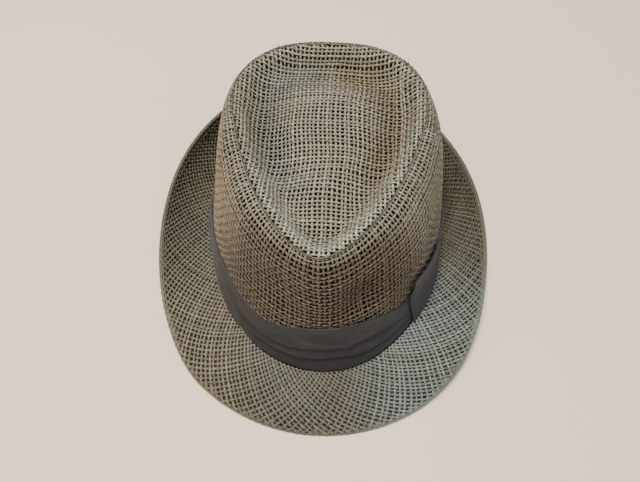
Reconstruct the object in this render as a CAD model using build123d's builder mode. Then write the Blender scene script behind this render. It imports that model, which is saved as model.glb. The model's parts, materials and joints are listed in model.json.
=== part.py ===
from build123d import *

import os
from math import cos, hypot, pi, radians, sin

# A short-brimmed woven hat that stands on its head opening, crown up. All sizes are in millimetres.
# +Z is up, the front of the hat is at -Y and the wearer's left is at +X. The origin is below the middle
# of the brim's outline, at the height of the crown's lower edge. An angle t runs round the hat from
# 0 at the front to pi at the back. Most pieces are thin layers whose section is drawn at many angles.

# Head line, where the crown meets the brim
HEAD_LENGTH = 206.0
HEAD_WIDTH = 168.0
HEAD_TAPER = 0.06  # the oval is this much narrower in front and wider behind
HEAD_Y = 6.4  # the oval's middle, which centres the brim's outline on the origin

# Crown
CROWN_CLOTH = 1.2
LEAN_LOW = (-20.0, -6.0, 0.0)  # front, side, back: the wall's first control point, outward of its foot
LEAN_LOW_HEIGHT = (35.0, 45.0, 50.0)
LEAN_HIGH = (-28.5, -11.0, 7.0)  # its second, outward of its foot and below the ridge
LEAN_HIGH_DROP = (6.0, 0.0, 2.0)
RIDGE_FRONT = -64.0  # places along Y, from the oval's middle
RIDGE_WIDEST = 44.5
RIDGE_BACK = 93.5
RIDGE_HALF_WIDTH = 58.5
RIDGE_FRONT_CURVE = 1.5
RIDGE_FRONT_POWER = 0.62
RIDGE_BACK_POWER = 2.6
RIDGE_HEIGHT = 99.0
RIDGE_FRONT_RISE = 5.0
RIDGE_BACK_RISE = 1.5
VALLEY_DEPTH = 11.0
VALLEY_INSET = 16.0  # from the ridge to the bottom of the dent
DOME_INSET = 36.0  # from the ridge to the raised middle
DOME_DROP = 4.0
TIP_GAP = 0.5  # between the tip's edge and the crown side's
TIP_END_GAP = 1.2
TIP_SLICES = 24

# Brim
BRIM_WIDTH = (36.0, 31.2, 21.0)  # front, side, back
BRIM_CORNER = 4.8  # extra width halfway from the front to each side
BRIM_ROOT_HEIGHT = (6.0, 3.8, 3.8)
BRIM_EDGE_HEIGHT = (2.9, 26.0, 42.0)
BRIM_CLOTH = 0.8
INTERLINING = 0.4
LAYER_GAP = 0.1
BRIM_THICKNESS = 2 * BRIM_CLOTH + INTERLINING + 2 * LAYER_GAP
EDGE_STITCH_AT = 0.94  # share of the brim's width
HEAD_STITCH_AT = 0.1

# Hat band and the loop that covers its ends on the wearer's left
BAND_CLOTH = 2.4
BAND_FOOT_RISE = 0.8  # above the brim's root
BAND_TOP = (46.0, 41.0, 41.0)
BAND_GAP = 0.2
TACK_ANGLES = [radians(a) for a in (20, 110, 165, 215, 270, 330)]
LOOP_START = radians(52)
LOOP_END = radians(79)
LOOP_CLOTH = 0.9
LOOP_RISE = 4.0  # how far the loop stands above the band's top edge

# Linings inside the crown
LINING_GAP = 0.2
LINING_CLOTH = 0.3
SIDE_LINING = (35.0, 84.0)  # heights, between the sweatband and the ridge tape
TIP_LINING_INSET = 4.5  # from the ridge, clear of its tape
SWEATBAND_FOOT = 1.5
SWEATBAND_TOP = 34.0
SWEATBAND_CLOTH = 0.8
SWEATBAND_INSIDE = CROWN_CLOTH + LINING_GAP + SWEATBAND_CLOTH  # depth below the crown's outer face
SWEATBAND_STITCH_HEIGHT = 4.5
SWEATBAND_JOIN = radians(170)
TAPE_WIDTH = 8.0
TAPE_CLOTH = 0.6
BACK_JOIN = (46.0, 80.0)  # heights of the part of the back join that shows above the band
BACK_JOIN_SPREAD = 0.05
BACK_STITCH_SPREAD = 0.03

# Labels
LABEL_CLOTH = 0.4
CARE_LABEL_WIDTH = 22.0
CARE_LABEL_DROP = 26.0
CARE_LABEL_TOP = 31.0
CARE_LABEL_STAND_OFF = 2.4  # from the sweatband, because a flat label spans its curve
SIZE_LABEL = (radians(145), radians(155))
SIZE_LABEL_HEIGHTS = (14.0, 24.0)

# Thread
THREAD = 0.5
STITCH = 2.4
STITCH_PITCH = 4.5
THREAD_GAP = 0.2

STATIONS = [pi * i / 18 for i in range(19)]
TIP_SAMPLES = 240


def around(t, front, side, back):
    """A value that runs smoothly round the hat, through those three."""
    swing = (front - back) / 2
    flare = (front + back) / 4 - side / 2
    return (front + back) / 4 + side / 2 + swing * cos(t) + flare * cos(2 * t)


def head_line(t):
    """The head line's point at t, and its outward direction, both in plan."""
    half_width, half_length = HEAD_WIDTH / 2, HEAD_LENGTH / 2
    point = Vector(half_width * sin(t) * (1 - HEAD_TAPER * cos(t)), HEAD_Y - half_length * cos(t))
    across = half_width * (cos(t) - HEAD_TAPER * cos(2 * t))
    along = half_length * sin(t)
    return point, Vector(along, -across).normalized()


def section_plane(t):
    """The upright plane at t: local X runs outward from the head line, and local Y runs up."""
    point, outward = head_line(t)
    return Plane(origin=point, x_dir=outward, z_dir=outward.cross(Vector(0, 0, 1)))


def in_space(t, point):
    """The place of a section's point."""
    return section_plane(t).from_local_coords(Vector(*point))


def ridge_half_width(y):
    """Half the width of the ridge's teardrop outline at the place y along the hat."""
    y -= HEAD_Y
    if not RIDGE_FRONT < y < RIDGE_BACK:
        return 0.0
    if y < RIDGE_WIDEST:
        share = (RIDGE_WIDEST - y) / (RIDGE_WIDEST - RIDGE_FRONT)
        return RIDGE_HALF_WIDTH * (1 - share**RIDGE_FRONT_CURVE) ** RIDGE_FRONT_POWER
    share = (y - RIDGE_WIDEST) / (RIDGE_BACK - RIDGE_WIDEST)
    return RIDGE_HALF_WIDTH * (1 - share**RIDGE_BACK_POWER) ** (1 / RIDGE_BACK_POWER)


def ridge_height(y):
    """The ridge's height at the place y along the hat. It rises to the front and a little behind."""
    y -= HEAD_Y
    if y < RIDGE_WIDEST:
        return RIDGE_HEIGHT + RIDGE_FRONT_RISE * ((RIDGE_WIDEST - y) / (RIDGE_WIDEST - RIDGE_FRONT)) ** 2
    return RIDGE_HEIGHT + RIDGE_BACK_RISE * ((y - RIDGE_WIDEST) / (RIDGE_BACK - RIDGE_WIDEST)) ** 2


def ridge_inset(t):
    """How far inside the head line the ridge lies, found by halving."""
    point, outward = head_line(t)
    near, far = 0.0, 60.0
    for _ in range(40):
        middle = (near + far) / 2
        place = point - outward * middle
        if abs(place.X) < ridge_half_width(place.Y):
            far = middle
        else:
            near = middle
    return far


def wall(t):
    """The crown side's outer face at t, as the four points of a Bezier curve from foot to ridge."""
    inset = ridge_inset(t)
    point, outward = head_line(t)
    top = ridge_height((point - outward * inset).Y)
    return [
        (0, 0),
        (around(t, *LEAN_LOW), around(t, *LEAN_LOW_HEIGHT)),
        (around(t, *LEAN_HIGH), top - around(t, *LEAN_HIGH_DROP)),
        (-inset, top),
    ]


def brim(t):
    """The brim's top face at t, as a Bezier curve from the head line to the edge."""
    width = around(t, *BRIM_WIDTH) + BRIM_CORNER * sin(2 * t) ** 2 * (1 + cos(t)) / 2
    root = around(t, *BRIM_ROOT_HEIGHT)
    edge = around(t, *BRIM_EDGE_HEIGHT)
    return [
        (at(wall(t), reach_height(wall(t), root - BRIM_THICKNESS))[0] + BAND_GAP, root),
        (width * 0.4, root + around(t, 0.5, -0.8, -0.6)),
        (width * around(t, 0.7, 0.8, 0.92), root + (edge - root) * around(t, 0.6, 0.42, 0.35)),
        (width, edge),
    ]


def at(curve, u):
    """The curve's point at u from 0 to 1."""
    points = curve
    while len(points) > 1:
        points = [
            (p[0] + (q[0] - p[0]) * u, p[1] + (q[1] - p[1]) * u)
            for p, q in zip(points, points[1:], strict=False)
        ]
    return points[0]


def part_of(curve, start, end):
    """The stretch of a Bezier curve from start to end, as four points of its own."""
    a, b, c, d = curve

    def blossom(u, v, w):
        shares = (
            (1 - u) * (1 - v) * (1 - w),
            u * (1 - v) * (1 - w) + v * (1 - u) * (1 - w) + w * (1 - u) * (1 - v),
            u * v * (1 - w) + u * w * (1 - v) + v * w * (1 - u),
            u * v * w,
        )
        return tuple(sum(share * p[i] for share, p in zip(shares, (a, b, c, d))) for i in (0, 1))

    return [blossom(*uvw) for uvw in ((start,) * 3, (start, start, end), (start, end, end), (end,) * 3)]


def reach_height(curve, height):
    """Where along the curve it first reaches that height."""
    low, high = 0.0, 1.0
    for _ in range(30):
        middle = (low + high) / 2
        if at(curve, middle)[1] < height:
            low = middle
        else:
            high = middle
    return high


def moved(curve, distance):
    """The curve moved sideways, to its right as it runs, which is outward on the wall."""
    legs = []
    for p, q in zip(curve, curve[1:], strict=False):
        size = hypot(q[0] - p[0], q[1] - p[1])
        legs.append(((q[1] - p[1]) / size, (p[0] - q[0]) / size))
    sides = [legs[0], *zip(legs, legs[1:], strict=False), legs[-1]]
    result = []
    for p, side in zip(curve, sides, strict=True):
        if isinstance(side[0], tuple):
            (ax, ay), (bx, by) = side
            scale = 1 + ax * bx + ay * by
            side = ((ax + bx) / scale, (ay + by) / scale)
        result.append((p[0] + side[0] * distance, p[1] + side[1] * distance))
    return result


def layer(curve_at, near, far, stations=STATIONS, both_sides=True, level_foot=False):
    """A thin layer round the hat, from near to far sideways of the curve that curve_at gives at t."""
    sections = []
    for t in stations:
        face = moved(curve_at(t), far)
        back = moved(curve_at(t), near)
        if level_foot:
            back[0] = (back[0][0], face[0][1])
        with BuildSketch(section_plane(t)) as section:
            with BuildLine():
                Bezier(*face)
                Line(face[-1], back[-1])
                Bezier(*reversed(back))
                Line(back[0], face[0])
            make_face()
        sections.append(section.sketch)
    loft(sections)
    if both_sides:
        mirror(about=Plane.YZ)


def spaced(start, end, steps):
    """Angles from start to end."""
    return [start + (end - start) * i / steps for i in range(steps + 1)]


def run_of_stitches(path, start, end):
    """Places for stitches along path(t), evenly spaced by its length."""
    fine = [path(t) for t in spaced(start, end, 720)]
    lengths = [0.0]
    for p, q in zip(fine, fine[1:], strict=False):
        lengths.append(lengths[-1] + (q - p).length)
    count = max(1, round(lengths[-1] / STITCH_PITCH))
    places = []
    for i in range(count):
        goal = lengths[-1] * (i + 0.5) / count
        k = next(j for j, length in enumerate(lengths) if length >= goal)
        places.append(Plane(origin=(fine[k - 1] + fine[k]) / 2, z_dir=fine[k] - fine[k - 1]))
    return places


def beside(curve_at, where, distance):
    """The path of a thread that lies sideways of a curve, at the place where(t) along it."""
    return lambda t: in_space(t, at(moved(curve_at(t), distance), where(t)))


def wall_between(low, high):
    """The stretch of the wall between two heights, each a number or a front, side and back value."""

    def curve_at(t):
        ends = [around(t, *h) if isinstance(h, tuple) else h for h in (low, high)]
        return part_of(wall(t), *(reach_height(wall(t), height) for height in ends))

    return curve_at


def ridge_tape_curve(t):
    """The last stretch of the wall before the ridge, one tape wide."""
    length = hypot(*(q - p for p, q in zip(at(wall(t), 0.9), wall(t)[3], strict=True))) / 0.1
    return part_of(wall(t), 1 - TAPE_WIDTH / length, 1 - 0.5 / length)


seam = [
    point - outward * ridge_inset(t)
    for t in spaced(0, 2 * pi, TIP_SAMPLES)
    for point, outward in [head_line(t)]
]


def tip_height(x, y):
    """The tip's top face: a dent that runs along inside the ridge, and a raised middle."""
    if abs(x) >= ridge_half_width(y):
        return ridge_height(y)
    weight = 0.0
    for p, q in zip(seam, seam[1:], strict=False):
        middle = (p + q) / 2
        weight += (q - p).length / ((middle.X - x) ** 2 + (middle.Y - y) ** 2 + 0.01) ** 2
    inset = (pi / 2 / weight) ** (1 / 3)  # the distance to a straight seam, and a smooth one elsewhere
    if inset < VALLEY_INSET:
        return ridge_height(y) - VALLEY_DEPTH * sin(pi / 2 * inset / VALLEY_INSET) ** 2
    share = min(1, (inset - VALLEY_INSET) / (DOME_INSET - VALLEY_INSET))
    return ridge_height(y) - VALLEY_DEPTH + (VALLEY_DEPTH - DOME_DROP) * sin(pi / 2 * share) ** 2


def tip_slices(near, far, side_gap, end_gap):
    """Sections of a layer of the tip between two depths, from the front of the ridge to its back."""
    middle = HEAD_Y + (RIDGE_FRONT + RIDGE_BACK) / 2
    reach = (RIDGE_BACK - RIDGE_FRONT) / 2 - end_gap
    slices = []
    for turn in spaced(0, pi, TIP_SLICES):
        y = middle - reach * cos(turn)
        half = ridge_half_width(y) - side_gap
        face = [(x, tip_height(x, y)) for x in spaced(-half, half, 20)]
        top = [(x, z - near) for x, z in face]
        low = [(x, z - far) for x, z in face]
        with BuildSketch(Plane(origin=(0, y, 0), x_dir=(1, 0, 0), z_dir=(0, -1, 0))) as section:
            with BuildLine():
                Spline(*top)
                Line(top[-1], low[-1])
                Spline(*reversed(low))
                Line(low[0], top[0])
            make_face()
        slices.append(section.sketch)
    return slices


def finish(piece, name):
    """Names a piece and writes it to its own file."""
    piece.part.label = name
    export_step(piece.part, f"parts/{name}.step")


os.makedirs("parts", exist_ok=True)

# Crown side: one strip of cloth, joined at the back
with BuildPart() as crown_side:
    layer(wall, -CROWN_CLOTH, 0, level_foot=True)
finish(crown_side, "crown_side")

# Crown tip: the dented top
with BuildPart() as crown_tip:
    loft(tip_slices(0, CROWN_CLOTH, TIP_GAP, TIP_END_GAP))
finish(crown_tip, "crown_tip")

# Lining under the tip
with BuildPart() as tip_lining:
    near = CROWN_CLOTH + LINING_GAP
    loft(tip_slices(near, near + LINING_CLOTH, TIP_LINING_INSET, TIP_LINING_INSET))
finish(tip_lining, "tip_lining")

# Lining inside the crown side
with BuildPart() as side_lining:
    outer = -CROWN_CLOTH - LINING_GAP
    layer(wall_between(*SIDE_LINING), outer - LINING_CLOTH, outer)
finish(side_lining, "side_lining")

# Tape inside the crown over the ridge seam's raw edges
with BuildPart() as ridge_tape:
    layer(ridge_tape_curve, -CROWN_CLOTH - LINING_GAP - TAPE_CLOTH, -CROWN_CLOTH - LINING_GAP)
finish(ridge_tape, "ridge_tape")

# Tape over the lining, behind the side's join at the back
with BuildPart() as back_join_tape:
    back = spaced(pi - BACK_JOIN_SPREAD, pi + BACK_JOIN_SPREAD, 2)
    outer = -CROWN_CLOTH - 2 * LINING_GAP - LINING_CLOTH
    layer(wall_between(*BACK_JOIN), outer - TAPE_CLOTH, outer, stations=back, both_sides=False)
finish(back_join_tape, "back_join_tape")

# Brim: two layers of cloth with an interlining between them
under = BRIM_THICKNESS - BRIM_CLOTH
brim_layers = {
    "brim_upper": (0, BRIM_CLOTH),
    "brim_interlining": (BRIM_CLOTH + LAYER_GAP, under - LAYER_GAP),
    "brim_under": (under, BRIM_THICKNESS),
}
for name, (near, far) in brim_layers.items():
    with BuildPart() as brim_layer:
        layer(brim, near, far)
    finish(brim_layer, name)

# Hat band, and the loop over its ends
band_foot = tuple(height + BAND_FOOT_RISE for height in BRIM_ROOT_HEIGHT)
band_curve = wall_between(band_foot, BAND_TOP)
band_face = BAND_GAP + BAND_CLOTH
with BuildPart() as hat_band:
    layer(band_curve, BAND_GAP, band_face)
finish(hat_band, "hat_band")

loop_curve = wall_between(band_foot, tuple(height + LOOP_RISE for height in BAND_TOP))
with BuildPart() as hat_band_loop:
    inner, outer = band_face + LAYER_GAP, band_face + LAYER_GAP + LOOP_CLOTH
    layer(loop_curve, inner, outer, stations=spaced(LOOP_START, LOOP_END, 6), both_sides=False)
finish(hat_band_loop, "hat_band_loop")

# Sweatband
with BuildPart() as sweatband:
    layer(wall_between(SWEATBAND_FOOT, SWEATBAND_TOP), -SWEATBAND_INSIDE, -CROWN_CLOTH - LINING_GAP)
finish(sweatband, "sweatband")

# Size label, sewn flat on the sweatband
size_label_curve = wall_between(*SIZE_LABEL_HEIGHTS)
size_label_face = SWEATBAND_INSIDE + LAYER_GAP + LABEL_CLOTH
with BuildPart() as size_label:
    outer = -SWEATBAND_INSIDE - LAYER_GAP
    layer(size_label_curve, -size_label_face, outer, stations=spaced(*SIZE_LABEL, 4), both_sides=False)
finish(size_label, "size_label")

# Care label, a loose flap that hangs by its top edge at the back
label_top = in_space(pi, at(wall(pi), reach_height(wall(pi), CARE_LABEL_TOP)))
label_y = label_top.Y - SWEATBAND_INSIDE - CARE_LABEL_STAND_OFF
with BuildPart() as care_label:
    with BuildSketch(Plane.XZ.offset(-label_y)):
        with Locations((0, CARE_LABEL_TOP)):
            Rectangle(CARE_LABEL_WIDTH, CARE_LABEL_DROP, align=(Align.CENTER, Align.MAX))
    extrude(amount=LABEL_CLOTH / 2, both=True)
finish(care_label, "care_label")

# Threads. Each run is a path round or up the hat, with the angles or shares between which it is sewn.
lift = THREAD / 2 + THREAD_GAP


def at_height(height):
    """Where a section's wall reaches a height."""
    return lambda t: reach_height(wall(t), height)


def up_the_wall(t, depth):
    """The path of a thread that runs up the wall at t, at a depth below its outer face."""
    return lambda u: in_space(t, at(moved(wall(t), depth), u))


def across_label(x):
    """The path of the care label's top row."""
    return Vector(x, label_y - LABEL_CLOTH / 2 - lift, CARE_LABEL_TOP - 1.2)


full = (0, 2 * pi)
back_heights = [reach_height(wall(pi), height) for height in BACK_JOIN]
sweatband_join = [reach_height(wall(pi), height) for height in (6.0, 30.0)]
label_half = CARE_LABEL_WIDTH / 2 - 1
thread_runs = {
    "ridge_stitches": [(beside(wall, lambda t: 0.97, lift), *full)],
    "back_join_stitches": [
        (up_the_wall(pi + side * BACK_STITCH_SPREAD, lift), *back_heights) for side in (-1, 1)
    ],
    "brim_edge_stitches": [(beside(brim, lambda t: EDGE_STITCH_AT, -lift), *full)],
    "head_seam_stitches": [(beside(brim, lambda t: HEAD_STITCH_AT, BRIM_THICKNESS + lift), *full)],
    "sweatband_stitches": [
        (beside(wall, at_height(SWEATBAND_STITCH_HEIGHT), -SWEATBAND_INSIDE - lift), *full)
    ],
    "sweatband_join_stitches": [
        (up_the_wall(SWEATBAND_JOIN, -SWEATBAND_INSIDE - lift), *sweatband_join)
    ],
    "size_label_stitches": [
        (beside(size_label_curve, lambda t, u=u: u, -size_label_face - lift), *SIZE_LABEL)
        for u in (0.1, 0.9)
    ],
    "care_label_stitches": [(across_label, -label_half, label_half)],
    "hat_band_tacks": [
        (beside(band_curve, lambda t: 0.97, band_face + lift), angle - 0.02, angle + 0.02)
        for angle in TACK_ANGLES
    ],
}
for name, runs in thread_runs.items():
    with BuildPart() as thread:
        with Locations(*(place for run in runs for place in run_of_stitches(*run))):
            Cylinder(THREAD / 2, STITCH)
    finish(thread, name)
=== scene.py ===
import json
import math

import bpy
import numpy as np
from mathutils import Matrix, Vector


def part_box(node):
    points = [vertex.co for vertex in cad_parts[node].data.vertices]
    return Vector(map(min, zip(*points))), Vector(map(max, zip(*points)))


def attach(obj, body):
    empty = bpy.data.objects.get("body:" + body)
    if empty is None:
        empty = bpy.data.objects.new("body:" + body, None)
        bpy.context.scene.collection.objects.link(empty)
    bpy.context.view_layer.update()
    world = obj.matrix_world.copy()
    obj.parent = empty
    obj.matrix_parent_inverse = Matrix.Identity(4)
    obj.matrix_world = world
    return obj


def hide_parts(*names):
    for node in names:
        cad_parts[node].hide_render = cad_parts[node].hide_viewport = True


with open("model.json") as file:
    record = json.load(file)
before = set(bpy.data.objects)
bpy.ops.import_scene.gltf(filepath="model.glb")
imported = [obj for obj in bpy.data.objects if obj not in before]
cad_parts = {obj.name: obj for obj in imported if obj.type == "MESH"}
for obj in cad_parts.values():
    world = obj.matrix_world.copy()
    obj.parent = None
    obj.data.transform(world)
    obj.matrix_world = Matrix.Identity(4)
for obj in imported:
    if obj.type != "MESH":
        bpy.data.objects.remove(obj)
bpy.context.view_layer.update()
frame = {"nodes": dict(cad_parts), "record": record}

# The hat's surfaces are worked out in millimetres, from the same driving sizes as the CAD model, and
# become metres when a mesh is made. An angle t runs round the hat from 0 at the front to pi at the back.
MM = 0.001
TURN = 2 * math.pi
HAT = "hat"
LABEL = "care_label"
HEAD_Y = 1000 * next(m for m in frame["record"]["mounts"] if m["name"] == "head_opening")["pos_m"][1]

# Head line and crown
HEAD_LENGTH = 206.0
HEAD_WIDTH = 168.0
HEAD_TAPER = 0.06
CROWN_CLOTH = 1.2
LEAN_LOW = (-20.0, -6.0, 0.0)
LEAN_LOW_HEIGHT = (35.0, 45.0, 50.0)
LEAN_HIGH = (-28.5, -11.0, 7.0)
LEAN_HIGH_DROP = (6.0, 0.0, 2.0)
RIDGE_FRONT = -64.0
RIDGE_WIDEST = 44.5
RIDGE_BACK = 93.5
RIDGE_HALF_WIDTH = 58.5
RIDGE_FRONT_CURVE = 1.5
RIDGE_FRONT_POWER = 0.62
RIDGE_BACK_POWER = 2.6
RIDGE_HEIGHT = 99.0
RIDGE_FRONT_RISE = 5.0
RIDGE_BACK_RISE = 1.5
VALLEY_DEPTH = 11.0
VALLEY_INSET = 16.0
DOME_INSET = 36.0
DOME_DROP = 4.0

# Brim
BRIM_WIDTH = (36.0, 31.2, 21.0)
BRIM_CORNER = 4.8  # extra width halfway from the front to each side
BRIM_ROOT_HEIGHT = (6.0, 3.8, 3.8)
BRIM_EDGE_HEIGHT = (2.9, 26.0, 42.0)
BRIM_THICKNESS = 2.2
EDGE_ROLL = 0.95  # radius of the turned edge

# Band, linings and labels
BAND_FOOT_RISE = 0.8
BAND_TOP = (46.0, 41.0, 41.0)
BAND_GAP = 0.2
BAND_CLOTH = 2.4
LOOP_START = math.radians(52)
LOOP_END = math.radians(79)
LOOP_RISE = 4.0
LOOP_LEAN = 0.075  # how far its front edge leans back, as an angle
LINING_GAP = 0.2
SWEATBAND_FOOT = 1.5
SWEATBAND_TOP = 34.0
SWEATBAND_CLOTH = 0.8
SWEATBAND_INSIDE = CROWN_CLOTH + LINING_GAP + SWEATBAND_CLOTH
RIDGE_TAPE_WIDTH = 8.0
BACK_JOIN = (46.0, 80.0)  # heights of the back join's tape and stitches
BACK_JOIN_SPREAD = 0.05
BACK_STITCH_SPREAD = 0.03
SIZE_LABEL = (math.radians(145), math.radians(155))
SIZE_LABEL_HEIGHTS = (14.0, 24.0)

# Weave
PITCH = 2.7  # from one strand to the next
SIDE_ROW_PITCH = 3.2
BRIM_LAYERS = (("upper", 0.4, 6.0), ("under", 1.8, 0.3))  # depth, and how far past the edge it is turned
FOOT_CORD = (1.7, 0.5, -0.5)  # width, thickness and lift
EDGE_CORD = (1.35, 0.5, 0.2)
STRAND_WIDTH = 1.5
STRAND_THICKNESS = 0.62
WAVE = 0.34  # how far a strand rises over or dips under its neighbours
PLATEAU = 0.22  # half the flat stretch at each crossing, as a share of the pitch
NORMAL_STEP = 0.4  # the step along a surface that gives its outward directions
HEXAGON = 0.577  # brings a six-sided strand to its full thickness
UNEVEN = 0.075  # spread of the strands' places, in pitches
CROWN_STRAND = 0.94  # the strands' width in the crown and in the brim, as a share of the usual
BRIM_STRAND = 0.98
TIP_COLUMNS = 24  # strands either side of the tip's middle
TIP_ROWS = 34
FOOT_SHARE = 0.012  # the lowest strands lie this far up the side, clear of the floor
UNDER_BAND = 0.6  # how far the band presses the side's cloth in
UNDER_BAND_END = (0.28, 0.36)  # the shares of the side's height between which that fades
LIP_RISE = 1.3  # how far the tip's soft edge swells above the seam
UV_SCALE = 0.1  # UV units for each millimetre along a strand
SEED = 7

# Camera and light, in metres
CAMERA_PLACE = (0.0061, -0.1592, 0.327)
CAMERA_AIM = (-0.0273, 0.4469, -0.8942)
CAMERA_LENS = 27.0
CAMERA_SENSOR = 36.0
FLOOR = 3.0  # half its width
LIT_PLACE = (0, 0, 0.05)

# Wear. Dents in the crown's side: angle and spread, share of the height and spread, and depth
DENTS = (
    (0.50, 0.24, 0.60, 0.15, 4.2),
    (-0.55, 0.26, 0.66, 0.16, 3.2),
    (0.03, 0.17, 0.955, 0.025, 1.1),
    (0.03, 0.17, 0.90, 0.035, -0.35),
    (-0.16, 0.12, 0.93, 0.04, 0.9),
)
# Where the crown is pushed sideways: the side, height and spread, place along the hat and spread, how far
PUSHES = ((-1, 68, 24, 15, 45, 2.2), (-1, 102, 20, 62, 28, -2.4), (1, 95, 28, 62, 42, 2.2))
# Where the brim is drawn in: angle and spread, how far, and the reach by which it is all drawn in
TUCKS = ((2.25, 0.58, 9.6, 26), (0.92, 0.28, -1.6, 26), (-0.75, 0.2, -1.6, 26), (1.45, 0.5, 2.0, 30))
TUCK_RISE = 0.25  # how far the brim rises where it is drawn in by 1
TUFTS = ((-38.0, 95.0), (-31.8, 98.5), (53.3, 90.9))  # where the ridge's raw ends stick out, in plan

# The band's pleats: where each one's lower edge lies, its wave, and how far that edge stands out
PLEATS = ((0.0, 0.0, 1.2), (0.27, 0.035, 1.5), (0.55, 0.06, 2.2))
# Its loose folds: angle and spread, share of the height with its slope and spread, and how far out
FOLDS = (
    (0.12, 0.32, 0.74, -0.3, 0.07, 1.6),
    (0.15, 0.3, 0.90, -0.3, 0.07, -0.8),
    (-0.3, 0.3, 0.89, 0.3, 0.08, -0.7),
)


def around(t, values):
    """A value that runs smoothly round the hat, through its front, side and back values."""
    front, side, back = values
    middle = (front + back) / 4
    return middle + side / 2 + (front - back) / 2 * np.cos(t) + (middle - side / 2) * np.cos(2 * t)


def signed(t):
    """The angle from the front, from -pi to pi."""
    return np.mod(t + math.pi, TURN) - math.pi


def ease(value, start, end):
    """0 before start, 1 after end, and smooth between them."""
    share = np.clip((value - start) / (end - start), 0, 1)
    return share * share * (3 - 2 * share)


def bell(value, middle, spread):
    """1 at the middle, and smoothly 0 some spreads away."""
    return np.exp(-(((value - middle) / spread) ** 2))


def unit(v):
    """Vectors brought to length 1."""
    return v / np.maximum(np.linalg.norm(v, axis=-1, keepdims=True), 1e-9)


def running(points):
    """The distance that a path has run at each of its points."""
    return np.concatenate([[0], np.cumsum(np.linalg.norm(np.diff(points, axis=0), axis=1))])


def head_line(t):
    """The head line's points at t, and the outward directions, both in plan."""
    half_width, half_length = HEAD_WIDTH / 2, HEAD_LENGTH / 2
    x = half_width * np.sin(t) * (1 - HEAD_TAPER * np.cos(t))
    y = HEAD_Y - half_length * np.cos(t)
    across = half_width * (np.cos(t) - HEAD_TAPER * np.cos(2 * t))
    along = half_length * np.sin(t)
    return np.stack([x, y], -1), np.stack([along, -across], -1) / np.hypot(across, along)[..., None]


def ridge_shares(y, most):
    """How far y lies from the ridge's widest place towards its front and its back, up to most."""
    y = np.asarray(y, float) - HEAD_Y
    front = np.clip((RIDGE_WIDEST - y) / (RIDGE_WIDEST - RIDGE_FRONT), 0, most)
    return front, np.clip((y - RIDGE_WIDEST) / (RIDGE_BACK - RIDGE_WIDEST), 0, most)


def ridge_half_width(y):
    """Half the width of the ridge's teardrop outline at the place y along the hat."""
    front, back = ridge_shares(y, 1)
    narrow = (1 - front**RIDGE_FRONT_CURVE) ** RIDGE_FRONT_POWER
    blunt = (1 - back**RIDGE_BACK_POWER) ** (1 / RIDGE_BACK_POWER)
    return RIDGE_HALF_WIDTH * np.where(front > 0, narrow, blunt)


def ridge_height(y):
    """The ridge's height at the place y along the hat."""
    front, back = ridge_shares(y, None)
    return RIDGE_HEIGHT + RIDGE_FRONT_RISE * front**2 + RIDGE_BACK_RISE * back**2


def ridge_inset(t):
    """How far inside the head line the ridge lies, found by halving."""
    point, outward = head_line(t)
    near, far = np.zeros_like(t), np.full_like(t, 60.0)
    for _ in range(30):
        middle = (near + far) / 2
        place = point - outward * middle[..., None]
        inside = np.abs(place[..., 0]) < ridge_half_width(place[..., 1])
        far = np.where(inside, middle, far)
        near = np.where(inside, near, middle)
    return far


def smoothed(values, spread=2.6, reach=9):
    """Values all round the hat, the first the same as the last, with any corner rounded off."""
    weights = np.exp(-((np.arange(-reach, reach + 1) / spread) ** 2))
    ring = np.concatenate([values[-reach - 1 : -1], values, values[1 : reach + 1]])
    return np.convolve(ring, weights / weights.sum(), mode="valid")


def wall_controls(t):
    """The crown side's Bezier controls at t, as (outward, up) pairs."""
    inset = ridge_inset(t)
    point, outward = head_line(t)
    top = ridge_height((point - outward * inset[..., None])[..., 1])
    inset, top = smoothed(inset), smoothed(top)
    zero = np.zeros_like(t)
    return [
        (zero, zero),
        (around(t, LEAN_LOW), around(t, LEAN_LOW_HEIGHT)),
        (around(t, LEAN_HIGH), top - around(t, LEAN_HIGH_DROP)),
        (-inset, top),
    ]


def bezier(controls, u):
    """The curve's place and direction at u, as outward and up."""
    shares = (1 - u) ** 3, 3 * u * (1 - u) ** 2, 3 * u**2 * (1 - u), u**3
    slopes = -3 * (1 - u) ** 2, 3 * (1 - u) * (1 - 3 * u), 3 * u * (2 - 3 * u), 3 * u**2
    place = [sum(s * c[i] for s, c in zip(shares, controls)) for i in (0, 1)]
    slope = [sum(s * c[i] for s, c in zip(slopes, controls)) for i in (0, 1)]
    size = np.hypot(*slope)
    return place, [slope[0] / size, slope[1] / size]


def between(table, i, j):
    """Reads a grid at rows i and columns j, which may lie between its own."""
    a = np.clip(i.astype(int), 0, table.shape[0] - 2)
    b = np.clip(j.astype(int), 0, table.shape[1] - 2)
    i, j = i - a, j - b
    if table.ndim == 3:
        i, j = i[..., None], j[..., None]
    low = table[a, b] * (1 - j) + table[a, b + 1] * j
    high = table[a + 1, b] * (1 - j) + table[a + 1, b + 1] * j
    return low * (1 - i) + high * i


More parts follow.
